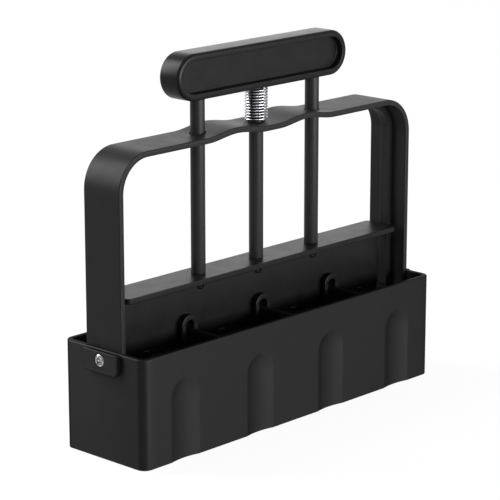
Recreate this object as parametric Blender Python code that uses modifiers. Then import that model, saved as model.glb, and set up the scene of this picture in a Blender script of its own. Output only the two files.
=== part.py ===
"""A hand soil blocker: a row of four square cells, open at the bottom, carried by a strap frame.

A sprung press slides in the frame. Squeezing the grip bar towards the frame moves four square
feet down the cells and lets go of the pressed blocks. Metres, +Z up, cells along X.
The origin is at the centre of the bottom rim.
"""

import math

import bmesh
import bpy
from mathutils import Matrix, Vector

# Mould box
CELL_COUNT = 4
CELL_LENGTH = 0.0500
CELL_DEPTH = 0.0500
WALL = 0.0028
PARTITION = 0.0028
BOX_HEIGHT = 0.0552
BOX_CORNER = 0.0048
CELL_CORNER = 0.0020
FLUTE_WIDTH = 0.0188
FLUTE_DEPTH = 0.0012
FLUTE_TOP = 0.0412

# Tab on each end wall, and the pocket behind it that takes the frame's foot
TAB_WIDTH = 0.0241
TAB_HEIGHT = 0.0109
TAB_DROP = 0.0004
TAB_PROUD = 0.0024
TAB_CORNER = 0.0030
POCKET_SKIN = 0.0006
POCKET_DEPTH = 0.0091

# Carrying frame
STRAP_WIDTH = 0.0244
STRAP_THICKNESS = 0.0029
FRAME_RISE = 0.0953
BEND_RADIUS = 0.0190
HUMP_RISE = 0.0022
HUMP_START = 0.0045
HUMP_LENGTH = 0.0420
RIB_WIDTH = 0.0058
RIB_PROUD = 0.0030
RIB_RUN = 0.0120

# Screw at each foot of the frame
SCREW_DIAMETER = 0.0034
SCREW_LENGTH = 0.0070
SCREW_HEAD = 0.0062
SCREW_HEAD_HEIGHT = 0.0018
SCREW_SINK = 0.0011
SCREW_DROP = 0.0050
SCREW_CROWN_SHARES = ((0.0, 1.0), (0.55, 0.93), (0.86, 0.66), (1.0, 0.3), (1.0, 0.0))

# Press bar: top plate, upright web, saddles over the partitions and sockets for the rods
STROKE = 0.0033
PLATE_RISE = 0.0250
PLATE_WIDTH = 0.0205
PLATE_THICKNESS = 0.0028
PLATE_CORNER = 0.0030
PLATE_PLAY = 0.0008
WEB_SETBACK = 0.0054
WEB_THICKNESS = 0.0032
SADDLE_RADIUS = 0.0055
SADDLE_WALL = 0.0028
SADDLE_PROUD = 0.0036
SADDLE_HEADROOM = 0.0007
SOCKET_BOSS = 0.0060
SOCKET_BOSS_HEIGHT = 0.0050
SOCKET_FLOOR = 0.0005
FOOT_BOSS = 0.0054
FOOT_BOSS_HEIGHT = 0.0030

# Rods and the pins that hold them in their sockets
ROD_SPACING = 0.0417
ROD_DIAMETER = 0.0073
ROD_RUNNING_GAP = 0.0006
TENON_DIAMETER = 0.0042
TENON_CHAMFER = 0.0004
PIN_DIAMETER = 0.0012
PIN_LIFT = 0.0013
PIN_RECESS = 0.0005

# Feet and the pegs that press a dimple into each block
FOOT_CLEARANCE = 0.0004
FOOT_THICKNESS = 0.0028
FOOT_PLAY = 0.0005
FOOT_CORNER = 0.0020
PEG_DIAMETER = 0.0100
PEG_TIP = 0.0070
PEG_LENGTH = 0.0100
PEG_EDGE = 0.0010
STUD_DIAMETER = 0.0030
STUD_LENGTH = 0.0056

# Grip bar
GRIP_LENGTH = 0.1220
GRIP_HEIGHT = 0.0232
GRIP_DEPTH = 0.0133
GRIP_EDGE = 0.0014
GRIP_RIM = 0.0034
GRIP_SOCKET = 0.0120
RECESS_WALL = 0.0006

# Return spring, which fills the space between the frame and the grip bar
SPRING_SPACE = 0.0175
SPRING_WIRE = 0.00095
SPRING_PLAY = 0.001275
SPRING_TURNS = 11

# Fits, and how far a cutter reaches past what it cuts
SEAT_GAP = 0.0003
FIT_GAP = 0.0003
OVERRUN = 0.0020
MERGE = 0.000001

# Facets, and the angles in degrees that count as an edge
ROUND_STEPS = 32
SMALL_STEPS = 16
CORNER_STEPS = 6
EDGE_STEPS = 3
HUMP_STEPS = 14
FLUTE_STEPS = 120
FLUTE_NOSE_STEPS = 8
POINTS_PER_TURN = 10
SHARP_ANGLE = 30
EDGE_ANGLE = 40

# Places that follow from the sizes
BOX_LENGTH = CELL_COUNT * CELL_LENGTH + (CELL_COUNT - 1) * PARTITION + 2 * WALL
BOX_DEPTH = CELL_DEPTH + 2 * WALL
CELL_PITCH = CELL_LENGTH + PARTITION
TAB_TOP = BOX_HEIGHT - TAB_DROP
TAB_BOTTOM = TAB_TOP - TAB_HEIGHT
POCKET_FLOOR = BOX_HEIGHT - POCKET_DEPTH
SCREW_HEIGHT = BOX_HEIGHT - SCREW_DROP
SCREW_BED = BOX_LENGTH / 2 + TAB_PROUD - SCREW_SINK
SCREW_SEAT = SCREW_BED + SEAT_GAP
LEG_FOOT = POCKET_FLOOR + SEAT_GAP
LEG_OUTSIDE = BOX_LENGTH / 2 - POCKET_SKIN - FIT_GAP
LEG_INSIDE = LEG_OUTSIDE - STRAP_THICKNESS
RIB_CREST = LEG_INSIDE - RIB_PROUD
FRAME_TOP = BOX_HEIGHT + FRAME_RISE
FOOT_TOP = LEG_FOOT - FOOT_CLEARANCE
WEB_BASE = FOOT_TOP + SEAT_GAP
PLATE_TOP = BOX_HEIGHT + PLATE_RISE
PLATE_UNDERSIDE = PLATE_TOP - PLATE_THICKNESS
PLATE_LENGTH = 2 * (RIB_CREST - PLATE_PLAY)
SOCKET_BOTTOM = PLATE_UNDERSIDE - SOCKET_BOSS_HEIGHT + SOCKET_FLOOR
PIN_HEIGHT = SOCKET_BOTTOM + SEAT_GAP + PIN_LIFT
GRIP_BOTTOM = FRAME_TOP + SPRING_SPACE
GRIP_CENTRE = GRIP_BOTTOM + GRIP_HEIGHT / 2
TENON_HOLE = TENON_DIAMETER + 2 * FIT_GAP
GRIP_RECESS = GRIP_DEPTH / 2 - TENON_HOLE / 2 - RECESS_WALL


def clear_scene():
    """Remove what the scene holds at the start."""
    for thing in list(bpy.data.objects):
        bpy.data.objects.remove(thing, do_unlink=True)


def new_collection(name, hidden=False):
    """A collection of the scene; a hidden one stays out of the render."""
    made = bpy.data.collections.new(name)
    bpy.context.scene.collection.children.link(made)
    made.hide_render = hidden
    return made


def new_material(name, colour, roughness, metallic=0.0):
    """A Principled material of one colour."""
    made = bpy.data.materials.new(name)
    made.use_nodes = True
    shader = made.node_tree.nodes["Principled BSDF"]
    shader.inputs["Base Color"].default_value = (*colour, 1.0)
    shader.inputs["Roughness"].default_value = roughness
    shader.inputs["Metallic"].default_value = metallic
    return made


def black_plastic(name):
    """Black moulded plastic with a soft gloss."""
    return new_material(name, (0.012, 0.012, 0.013), 0.35)


def black_metal(name):
    """Round bar with a smooth black coat."""
    return new_material(name, (0.010, 0.010, 0.011), 0.30, 0.3)


def bright_steel(name):
    """Bright plated steel."""
    return new_material(name, (0.72, 0.72, 0.74), 0.22, 1.0)


def cell_centres():
    """X of the middle of each cell, left to right."""
    first = -(CELL_COUNT - 1) * CELL_PITCH / 2
    return [first + index * CELL_PITCH for index in range(CELL_COUNT)]


def partition_centres():
    """X of the middle of each partition, left to right."""
    centres = cell_centres()
    return [(left + right) / 2 for left, right in zip(centres, centres[1:])]


def rod_centres():
    """X of the left, middle and right rod."""
    return [-ROD_SPACING, 0.0, ROD_SPACING]


def mesh_object(name, mesh, collection, material=None, location=(0, 0, 0)):
    """An object for this mesh in this collection."""
    made = bpy.data.objects.new(name, mesh)
    collection.objects.link(made)
    made.location = location
    if material:
        mesh.materials.append(material)
    return made


def mesh_from(shape, name):
    """The mesh of a finished bmesh, with rounded faces shaded smooth."""
    bmesh.ops.recalc_face_normals(shape, faces=shape.faces)
    mesh = bpy.data.meshes.new(name)
    shape.to_mesh(mesh)
    shape.free()
    mesh.shade_smooth()
    mesh.set_sharp_from_angle(angle=math.radians(SHARP_ANGLE))
    return mesh


def block_mesh(name, size, corner):
    """A box of this size about its centre, with its upright edges rounded."""
    shape = bmesh.new()
    bmesh.ops.create_cube(shape, size=1.0)
    bmesh.ops.scale(shape, vec=Vector(size), verts=shape.verts)
    if corner:
        upright = [edge for edge in shape.edges if edge.verts[0].co.xy == edge.verts[1].co.xy]
        bmesh.ops.bevel(
            shape, geom=upright, offset=corner, segments=CORNER_STEPS, profile=0.5, affect="EDGES"
        )
    return mesh_from(shape, name)


def block_between(name, low, high, collection, material=None, corner=0.0):
    """A box from its lowest to its highest corner."""
    size = [b - a for a, b in zip(low, high)]
    centre = [(a + b) / 2 for a, b in zip(low, high)]
    return mesh_object(name, block_mesh(name, size, corner), collection, material, centre)


def round_bar(name, diameter, length, collection, steps, material=None):
    """A cylinder about its own middle, along Z until it is turned."""
    shape = bmesh.new()
    radius = diameter / 2
    bmesh.ops.create_cone(
        shape, cap_ends=True, segments=steps, radius1=radius, radius2=radius, depth=length
    )
    return mesh_object(name, mesh_from(shape, name), collection, material)


def upright_bar(name, diameter, bottom, top, x, collection, steps=ROUND_STEPS):
    """A cylinder between two heights at this X."""
    made = round_bar(name, diameter, top - bottom, collection, steps)
    made.location = (x, 0, (bottom + top) / 2)
    return made


def arc(centre, radius, start, end, steps=CORNER_STEPS):
    """Points on an arc, from one angle to another in degrees."""
    angles = [math.radians(start + (end - start) * step / steps) for step in range(steps + 1)]
    return [(centre[0] + radius * math.cos(a), centre[1] + radius * math.sin(a)) for a in angles]


def stadium(length, height, middle):
    """The outline of a bar with half-round ends, its middle at this height."""
    radius = height / 2
    reach = length / 2 - radius
    right = arc((reach, middle), radius, -90, 90, 2 * CORNER_STEPS)
    left = arc((-reach, middle), radius, 90, 270, 2 * CORNER_STEPS)
    return right + left


def upright_outline(name, points, depth, collection, material=None):
    """A flat outline in X and Z made a solid of this depth, its middle on Y = 0."""
    curve = bpy.data.curves.new(name, "CURVE")
    curve.dimensions = "2D"
    curve.fill_mode = "BOTH"
    curve.extrude = depth / 2
    spline = curve.splines.new("POLY")
    spline.points.add(len(points) - 1)
    for point, (x, z) in zip(spline.points, points):
        point.co = (x, z, 0, 1)
    spline.use_cyclic_u = True
    drawn = bpy.data.objects.new(name + "_outline", curve)
    collection.objects.link(drawn)
    drawn.rotation_euler = (math.pi / 2, 0, 0)
    bpy.context.view_layer.update()
    return mesh_of_curve(drawn, name, collection, material)


def mesh_of_curve(drawn, name, collection, material):
    """Turn a curve object into a mesh object in the same place, with its caps welded on."""
    evaluated = drawn.evaluated_get(bpy.context.evaluated_depsgraph_get())
    mesh = bpy.data.meshes.new_from_object(evaluated)
    mesh.name = name
    placed = drawn.matrix_world.copy()
    bpy.data.objects.remove(drawn, do_unlink=True)
    shape = bmesh.new()
    shape.from_mesh(mesh)
    bmesh.ops.remove_doubles(shape, verts=shape.verts, dist=MERGE)
    bmesh.ops.recalc_face_normals(shape, faces=shape.faces)
    shape.to_mesh(mesh)
    shape.free()
    mesh.materials.clear()
    mesh.shade_smooth()
    mesh.set_sharp_from_angle(angle=math.radians(SHARP_ANGLE))
    made = mesh_object(name, mesh, collection, material)
    made.matrix_world = placed
    return made


def turned(name, profile, collection, material=None, steps=ROUND_STEPS):
    """A turned piece about Z. The profile runs down its outer side, as (radius, height)."""
    mesh = bpy.data.meshes.new(name)
    points = [(radius, 0, height) for radius, height in profile]
    edges = [(index, index + 1) for index in range(len(points) - 1)]
    mesh.from_pydata(points, edges, [])
    made = mesh_object(name, mesh, collection, material)
    spin = made.modifiers.new("turn", "SCREW")
    spin.axis = "Z"
    spin.steps = steps
    spin.render_steps = steps
    spin.use_merge_vertices = True
    spin.merge_threshold = MERGE
    return made


def boolean(piece, tool, operation):
    """Add a tool body to a piece, or cut it out."""
    step = piece.modifiers.new(tool.name, "BOOLEAN")
    step.operation = operation
    step.solver = "EXACT"
    step.object = tool
    tool.hide_render = True
    tool.display_type = "WIRE"


def cut(piece, tool):
    """Cut a tool body out of the piece."""
    boolean(piece, tool, "DIFFERENCE")


def join(piece, tool):
    """Make a tool body part of the piece."""
    boolean(piece, tool, "UNION")


def flute_cutter(name, x, side, cutters):
    """A tall round-nosed cutter that hollows one wall over a cell: a cylinder under a ball."""
    half = FLUTE_WIDTH / 2
    radius = (half * half + FLUTE_DEPTH * FLUTE_DEPTH) / (2 * FLUTE_DEPTH)
    shoulder = FLUTE_TOP - half
    nose = arc((0.0, shoulder), radius, 90, 0, 4 * FLUTE_NOSE_STEPS)
    profile = [(0.0, shoulder + radius)] + nose[1:] + [(radius, -OVERRUN), (0.0, -OVERRUN)]
    made = turned(name, profile, cutters, steps=FLUTE_STEPS)
    made.location = (x, side * (BOX_DEPTH / 2 + radius - FLUTE_DEPTH), 0)
    return made


def tab_outline():
    """The tab as seen from the end: square at the top, rounded at the bottom."""
    half = TAB_WIDTH / 2
    reach = half - TAB_CORNER
    low = TAB_BOTTOM + TAB_CORNER
    points = [(half, TAB_TOP), (-half, TAB_TOP)]
    points += arc((-reach, low), TAB_CORNER, 180, 270)
    points += arc((reach, low), TAB_CORNER, 270, 360)
    return points


def end_tab(name, side, cutters):
    """The raised tab on one end wall that gives back the wall which the pocket takes."""
    inner = BOX_LENGTH / 2 - POCKET_SKIN / 2
    outer = BOX_LENGTH / 2 + TAB_PROUD
    made = upright_outline(name, tab_outline(), outer - inner, cutters)
    quarter = Matrix.Rotation(math.pi / 2, 4, "Z")
    place = Matrix.Translation((side * (inner + outer) / 2, 0, 0))
    made.matrix_world = place @ quarter @ made.matrix_world
    return made


def pocket_cutter(name, side, cutters):
    """The slot on the inner side of an end wall in which the frame's foot stands."""
    half = STRAP_WIDTH / 2 + FIT_GAP
    inner = side * (BOX_LENGTH / 2 - WALL - OVERRUN)
    outer = side * (BOX_LENGTH / 2 - POCKET_SKIN)
    low = (min(inner, outer), -half, POCKET_FLOOR)
    high = (max(inner, outer), half, BOX_HEIGHT + OVERRUN)
    return block_between(name, low, high, cutters)


def screw_bore(name, side, diameter, start, cutters):
    """A bore on a screw's axis, from this distance along X out past the tab."""
    end = SCREW_SEAT + SCREW_SINK + OVERRUN
    made = round_bar(name, diameter + 2 * FIT_GAP, end - start, cutters, SMALL_STEPS)
    made.location = (side * (start + end) / 2, 0, SCREW_HEIGHT)
    made.rotation_euler = (0, math.pi / 2, 0)
    return made


def screw_hole(name, side, cutters):
    """The hole that takes a frame screw's shank, from beyond its tip."""
    return screw_bore(name, side, SCREW_DIAMETER, SCREW_SEAT - SCREW_LENGTH - FIT_GAP, cutters)


def screw_recess(name, side, cutters):
    """The round recess in the tab in which a frame screw's head sits."""
    return screw_bore(name, side, SCREW_HEAD, SCREW_BED, cutters)


def make_mould_box(parts, cutters):
    """Four open cells in a row, hollow flutes on the long walls, a tab on each end."""
    low = (-BOX_LENGTH / 2, -BOX_DEPTH / 2, 0)
    high = (BOX_LENGTH / 2, BOX_DEPTH / 2, BOX_HEIGHT)
    box = block_between("mould_box", low, high, parts, black_plastic("box_plastic"), BOX_CORNER)
    for side in (-1, 1):
        join(box, end_tab(f"end_tab_{side}", side, cutters))
        cut(box, pocket_cutter(f"pocket_{side}", side, cutters))
        cut(box, screw_hole(f"box_screw_hole_{side}", side, cutters))
        cut(box, screw_recess(f"screw_recess_{side}", side, cutters))
    for index, x in enumerate(cell_centres()):
        low = (x - CELL_LENGTH / 2, -CELL_DEPTH / 2, -OVERRUN)
        high = (x + CELL_LENGTH / 2, CELL_DEPTH / 2, BOX_HEIGHT + OVERRUN)
        cut(box, block_between(f"cell_{index + 1}", low, high, cutters, corner=CELL_CORNER))
        for side in (-1, 1):
            cut(box, flute_cutter(f"flute_{index + 1}_{side}", x, side, cutters))
    return box


def hump_line(height):
    """Points over the two finger humps of the top bar, left to right, as smooth cosine waves."""
    places = [HUMP_START + HUMP_LENGTH * step / HUMP_STEPS for step in range(HUMP_STEPS + 1)]
    waves = [math.sin(math.pi * step / HUMP_STEPS) ** 2 for step in range(HUMP_STEPS + 1)]
    right = [(x, height + HUMP_RISE * wave) for x, wave in zip(places, waves)]
    left = [(-x, z) for x, z in reversed(right)]
    return left + right


def frame_outline():
    """The bent strap seen from the front: up the left leg, along the bar, down, and back inside."""
    reach = LEG_OUTSIDE - BEND_RADIUS
    bend = FRAME_TOP - BEND_RADIUS
    small = BEND_RADIUS - STRAP_THICKNESS
    outer = [(-LEG_OUTSIDE, LEG_FOOT)] + arc((-reach, bend), BEND_RADIUS, 180, 90)
    outer += hump_line(FRAME_TOP)
    outer += arc((reach, bend), BEND_RADIUS, 90, 0) + [(LEG_OUTSIDE, LEG_FOOT)]
    inner = [(LEG_INSIDE, LEG_FOOT)] + arc((reach, bend), small, 0, 90)
    inner += reversed(hump_line(FRAME_TOP - STRAP_THICKNESS))
    inner += arc((-reach, bend), small, 90, 180) + [(-LEG_INSIDE, LEG_FOOT)]
    return outer + inner


def rib_outline(side):
    """The stiffening rib inside one leg and its bend, ending in a slope under the bar."""
    root = STRAP_THICKNESS / 2
    reach = LEG_OUTSIDE - BEND_RADIUS
    bend = FRAME_TOP - BEND_RADIUS
    large = BEND_RADIUS - root
    small = BEND_RADIUS - STRAP_THICKNESS - RIB_PROUD
    points = [(LEG_OUTSIDE - root, LEG_FOOT)] + arc((reach, bend), large, 0, 90)
    points += [(reach - RIB_RUN, bend + large)]
    points += arc((reach, bend), small, 90, 0) + [(RIB_CREST, LEG_FOOT)]
    return [(side * x, z) for x, z in points]


def make_carry_frame(parts, cutters):
    """A strap bent into a U, ribbed inside its legs, with three holes for the rods."""
    material = black_plastic("frame_plastic")
    frame = upright_outline("carry_frame", frame_outline(), STRAP_WIDTH, parts, material)
    for side in (-1, 1):
        join(frame, upright_outline(f"rib_{side}", rib_outline(side), RIB_WIDTH, cutters))
        cut(frame, screw_hole(f"frame_screw_hole_{side}", side, cutters))
    for index, x in enumerate(rod_centres()):
        bottom = FRAME_TOP - STRAP_THICKNESS - OVERRUN
        top = FRAME_TOP + HUMP_RISE + OVERRUN
        hole = ROD_DIAMETER + 2 * ROD_RUNNING_GAP
        cut(frame, upright_bar(f"rod_hole_{index + 1}", hole, bottom, top, x, cutters))
    return frame


def make_frame_screw(name, side, parts):
    """A pan-head screw through the tab into the frame's foot, its head sunk in the tab."""
    crown, radius = SCREW_HEAD / 2, SCREW_DIAMETER / 2
    profile = [(crown * r, SCREW_HEAD_HEIGHT * z) for r, z in SCREW_CROWN_SHARES]
    profile += [(radius, 0), (radius, -SCREW_LENGTH), (0, -SCREW_LENGTH)]
    screw = turned(name, profile, parts, bright_steel("screw_steel"), SMALL_STEPS)
    screw.location = (side * SCREW_SEAT, 0, SCREW_HEIGHT)
    screw.rotation_euler = (0, side * math.pi / 2, 0)
    return screw


def saddle_outline(x, radius, bottom, top):
    """An upright arch about this X: straight sides under a half-round head."""
    head = arc((x, top - radius), radius, 0, 180, 2 * CORNER_STEPS)
    return [(x + radius, bottom)] + head + [(x - radius, bottom)]


def add_press_web(bar, cutters):
    """The upright web under the plate, down to the feet."""
    half = PLATE_LENGTH / 2 - WEB_SETBACK
    low = (-half, -WEB_THICKNESS / 2, WEB_BASE)
    high = (half, WEB_THICKNESS / 2, PLATE_UNDERSIDE + PLATE_THICKNESS / 2)
    join(bar, block_between("web", low, high, cutters))


def add_saddles(bar, cutters):
    """A hollow arch that steps over each partition, with room for the stroke."""
    slot_top = BOX_HEIGHT + STROKE + SADDLE_HEADROOM
    depth = WEB_THICKNESS + 2 * SADDLE_PROUD
    for index, x in enumerate(partition_centres()):
        outer = saddle_outline(x, SADDLE_RADIUS, WEB_BASE, slot_top + SADDLE_WALL)
        inner = saddle_outline(x, SADDLE_RADIUS - SADDLE_WALL, WEB_BASE - OVERRUN, slot_top)
        join(bar, upright_outline(f"saddle_{index + 1}", outer, depth, cutters))
        cut(bar, upright_outline(f"slot_{index + 1}", inner, depth + 2 * OVERRUN, cutters))


def add_rod_sockets(bar, cutters):
    """A boss with a blind bore under each rod, and the cross hole for its pin."""
    for index, x in enumerate(rod_centres()):
        bottom = PLATE_UNDERSIDE - SOCKET_BOSS_HEIGHT
        top = PLATE_UNDERSIDE + PLATE_THICKNESS / 2
        join(bar, upright_bar(f"socket_boss_{index + 1}", SOCKET_BOSS, bottom, top, x, cutters))
        bore = upright_bar(
            f"rod_socket_{index + 1}", TENON_HOLE, SOCKET_BOTTOM, PLATE_TOP + OVERRUN, x, cutters
        )
        cut(bar, bore)
        cut(bar, pin_hole(f"bar_pin_hole_{index + 1}", x, cutters))


def add_foot_bosses(bar, cutters):
    """A boss on the web over each foot, with the bore for the stud that holds the foot."""
    for index, x in enumerate(cell_centres()):
        top = WEB_BASE + FOOT_BOSS_HEIGHT
        join(bar, upright_bar(f"foot_boss_{index + 1}", FOOT_BOSS, WEB_BASE, top, x, cutters))
        end = FOOT_TOP - FOOT_THICKNESS - SEAT_GAP + STUD_LENGTH + FIT_GAP
        hole = STUD_DIAMETER + 2 * FIT_GAP
        bore = upright_bar(
            f"stud_hole_{index + 1}", hole, WEB_BASE - OVERRUN, end, x, cutters, SMALL_STEPS
        )
        cut(bar, bore)


def make_press_bar(parts, cutters):
    """The top plate with its web, saddles, rod sockets and foot bosses, one moulding."""
    low = (-PLATE_LENGTH / 2, -PLATE_WIDTH / 2, PLATE_UNDERSIDE)
    high = (PLATE_LENGTH / 2, PLATE_WIDTH / 2, PLATE_TOP)
    bar = block_between("press_bar", low, high, parts, black_plastic("bar_plastic"), PLATE_CORNER)
    add_press_web(bar, cutters)
    add_saddles(bar, cutters)
    add_rod_sockets(bar, cutters)
    add_foot_bosses(bar, cutters)
    return bar


def make_press_foot(name, x, parts, cutters):
    """One square foot with the hole for its peg's stud."""
    half_length = CELL_LENGTH / 2 - FOOT_PLAY
    half_depth = CELL_DEPTH / 2 - FOOT_PLAY
    low = (x - half_length, -half_depth, FOOT_TOP - FOOT_THICKNESS)
    high = (x + half_length, half_depth, FOOT_TOP)
    foot = block_between(name, low, high, parts, black_plastic("foot_plastic"), FOOT_CORNER)
    hole = STUD_DIAMETER + 2 * FIT_GAP
    bottom, top = low[2] - OVERRUN, high[2] + OVERRUN
    cut(foot, upright_bar(f"{name}_hole", hole, bottom, top, x, cutters, SMALL_STEPS))
    return foot


def make_dimple_peg(name, x, parts):
    """A tapered peg under one foot, with the stud that holds the foot on the web."""
    radius, tip, stud = PEG_DIAMETER / 2, PEG_TIP / 2, STUD_DIAMETER / 2
    profile = [(0, STUD_LENGTH), (stud, STUD_LENGTH), (stud, 0), (radius, 0)]
    profile += [(tip, PEG_EDGE - PEG_LENGTH), (tip - PEG_EDGE, -PEG_LENGTH), (0, -PEG_LENGTH)]
    peg = turned(name, profile, parts, black_plastic("peg_plastic"), SMALL_STEPS)
    peg.location = (x, 0, FOOT_TOP - FOOT_THICKNESS - SEAT_GAP)
    return peg


def pin_hole(name, x, cutters):
    """The cross hole for a rod pin, along Y through the whole socket."""
    length = SOCKET_BOSS + 2 * OVERRUN
    made = round_bar(name, PIN_DIAMETER + 2 * FIT_GAP, length, cutters, SMALL_STEPS)
    made.location = (x, 0, PIN_HEIGHT)
    made.rotation_euler = (math.pi / 2, 0, 0)
    return made


def make_push_rod(name, x, parts, cutters):
    """A round rod between plate and grip, with a thinner tenon at each end."""
    radius, tenon, edge = ROD_DIAMETER / 2, TENON_DIAMETER / 2, TENON_CHAMFER
    top, shoulder = GRIP_BOTTOM + GRIP_SOCKET - SEAT_GAP, GRIP_BOTTOM - SEAT_GAP
    bottom, heel = SOCKET_BOTTOM + SEAT_GAP, PLATE_TOP + SEAT_GAP
    profile = [(0, top), (tenon - edge, top), (tenon, top - edge), (tenon, shoulder)]
    profile += [(radius, shoulder), (radius, heel), (tenon, heel)]
    profile += [(tenon, bottom + edge), (tenon - edge, bottom), (0, bottom)]
    rod = turned(name, profile, parts, black_metal("rod_metal"))
    rod.location = (x, 0, 0)
    cut(rod, pin_hole(f"{name}_pin_hole", x, cutters))
    return rod


def make_rod_pin(name, x, parts):
    """The cross pin that locks a rod's tenon in its socket, its ends sunk in the boss."""
    length = SOCKET_BOSS - 2 * PIN_RECESS
    pin = round_bar(name, PIN_DIAMETER, length, parts, SMALL_STEPS, bright_steel("pin_steel"))
    pin.location = (x, 0, PIN_HEIGHT)
    pin.rotation_euler = (math.pi / 2, 0, 0)
    return pin


def make_grip_bar(parts, cutters):
    """A thick bar with half-round ends, soft edges, a shallow recess in front and three bores."""
    outline = stadium(GRIP_LENGTH, GRIP_HEIGHT, GRIP_CENTRE)
    grip = upright_outline("grip_bar", outline, GRIP_DEPTH, parts, black_plastic("grip_plastic"))
    edge = grip.modifiers.new("soft_edges", "BEVEL")
    edge.width = GRIP_EDGE
    edge.segments = EDGE_STEPS
    edge.limit_method = "ANGLE"
    edge.angle_limit = math.radians(EDGE_ANGLE)
    inner = stadium(GRIP_LENGTH - 2 * GRIP_RIM, GRIP_HEIGHT - 2 * GRIP_RIM, GRIP_CENTRE)
    recess = upright_outline("grip_recess", inner, GRIP_RECESS + OVERRUN, cutters)
    recess.location.y = -GRIP_DEPTH / 2 + (GRIP_RECESS - OVERRUN) / 2
    cut(grip, recess)
    for index, x in enumerate(rod_centres()):
        bottom, top = GRIP_BOTTOM - OVERRUN, GRIP_BOTTOM + GRIP_SOCKET
        cut(grip, upright_bar(f"grip_socket_{index + 1}", TENON_HOLE, bottom, top, x, cutters))
    return grip


def spring_points():
    """The wire's middle line: even turns about Z, with a straight end one wire long at each end."""
    radius = (ROD_DIAMETER + SPRING_WIRE) / 2 + SPRING_PLAY
    low = FRAME_TOP + SEAT_GAP + SPRING_WIRE / 2
    high = GRIP_BOTTOM - SEAT_GAP - SPRING_WIRE / 2
    count = SPRING_TURNS * POINTS_PER_TURN
    points = []
    for step in range(count + 1):
        angle = 2 * math.pi * step / POINTS_PER_TURN
        height = low + (high - low) * step / count
        points.append(Vector((radius * math.cos(angle), radius * math.sin(angle), height)))
    straight = Vector((0, SPRING_WIRE, 0))
    return [points[0] - straight] + points + [points[-1] + straight]


def least_spring_gap(points):
    """The least gap between one turn of the wire and the next, measured on its points."""
    turn = POINTS_PER_TURN
    near = [
        (first - second).length
        for index, first in enumerate(points)
        for second in points[index + turn // 2:index + 2 * turn]
    ]
    return min(near) - SPRING_WIRE


def make_return_spring(parts):
    """The coil round the middle rod, one unbroken wire between the frame and the grip bar."""
    points = spring_points()
    curve = bpy.data.curves.new("return_spring", "CURVE")
    curve.dimensions = "3D"
    curve.bevel_depth = SPRING_WIRE / 2
    curve.bevel_resolution = 1
    curve.use_fill_caps = True
    spline = curve.splines.new("POLY")
    spline.points.add(len(points) - 1)
    for point, place in zip(spline.points, points):
        point.co = (*place, 1)
    curve.materials.append(bright_steel("spring_steel"))
    spring = bpy.data.objects.new("return_spring", curve)
    parts.objects.link(spring)
    print(f"least gap between turns of the spring in metres: {least_spring_gap(points):.5f}")
    return spring


def gather_plunger(pieces, parts):
    """The empty on the slide axis that carries every piece of the press."""
    plunger = bpy.data.objects.new("plunger", None)
    parts.objects.link(plunger)
    for piece in pieces:
        piece.parent = plunger
    return plunger


def main():
    """Build every piece."""
    clear_scene()
    parts = new_collection("soil_blocker")
    cutters = new_collection("soil_blocker_cutters", hidden=True)
    make_mould_box(parts, cutters)
    make_carry_frame(parts, cutters)
    for word, side in (("left", -1), ("right", 1)):
        make_frame_screw(f"frame_screw_{word}", side, parts)
    make_return_spring(parts)
    moving = [make_press_bar(parts, cutters), make_grip_bar(parts, cutters)]
    for index, x in enumerate(cell_centres()):
        moving.append(make_press_foot(f"press_foot_{index + 1}", x, parts, cutters))
        moving.append(make_dimple_peg(f"dimple_peg_{index + 1}", x, parts))
    for word, x in zip(("left", "middle", "right"), rod_centres()):
        moving.append(make_push_rod(f"push_rod_{word}", x, parts, cutters))
        moving.append(make_rod_pin(f"rod_pin_{word}", x, parts))
    gather_plunger(moving, parts)


if __name__ == "__main__":
    main()
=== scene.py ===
"""Looks of a hand soil blocker: four square cells, a strap frame and a sprung press.

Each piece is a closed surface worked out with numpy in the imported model's own frame: metres,
+Z up, cells along X, the grip's recess towards -Y. A surface stands for the node of its place.
Finishes are procedural and read Object coordinates, so they stay on the pieces as they move.
"""

import logging
import math
from collections.abc import Callable, Iterable, Sequence
from dataclasses import dataclass
from enum import Enum
from functools import cache

import bmesh
import bpy
import numpy as np
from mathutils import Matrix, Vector
from mathutils.geometry import tessellate_polygon


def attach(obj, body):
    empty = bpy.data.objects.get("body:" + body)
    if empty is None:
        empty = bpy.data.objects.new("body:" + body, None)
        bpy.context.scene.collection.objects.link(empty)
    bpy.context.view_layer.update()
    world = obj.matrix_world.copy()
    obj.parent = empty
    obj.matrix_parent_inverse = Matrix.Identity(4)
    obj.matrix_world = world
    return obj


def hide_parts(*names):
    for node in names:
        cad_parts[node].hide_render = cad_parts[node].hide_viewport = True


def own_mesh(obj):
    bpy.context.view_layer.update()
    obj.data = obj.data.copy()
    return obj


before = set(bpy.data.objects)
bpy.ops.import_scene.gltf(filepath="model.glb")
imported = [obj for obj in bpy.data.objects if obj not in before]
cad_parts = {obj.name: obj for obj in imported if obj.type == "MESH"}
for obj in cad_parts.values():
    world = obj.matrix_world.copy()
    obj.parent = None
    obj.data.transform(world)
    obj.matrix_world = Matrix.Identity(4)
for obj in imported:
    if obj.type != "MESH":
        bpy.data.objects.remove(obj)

Array = np.ndarray
Triple = tuple[float, float, float]
Thing = bpy.types.Object
Socket = bpy.types.NodeSocket
LOG = logging.getLogger("soil_blocker")

MM = 0.001
WELD = 0.000002
CORNER_STEPS = 8
ROUND_STEPS = 96
ROD_STEPS = 64
BORE_STEPS = 48
PIN_STEPS = 32
EDGE_STEPS = 4
SHARP_ANGLE = 38.0
MITRE_LIMIT = 0.3
BEND_STEPS = 20
CROSS_BORE = 0.0130
NOISE_SPAN = (0.3, 0.7)


class Side(Enum):
    """Which end of the blocker a piece belongs to."""

    LEFT = -1
    RIGHT = 1


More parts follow.
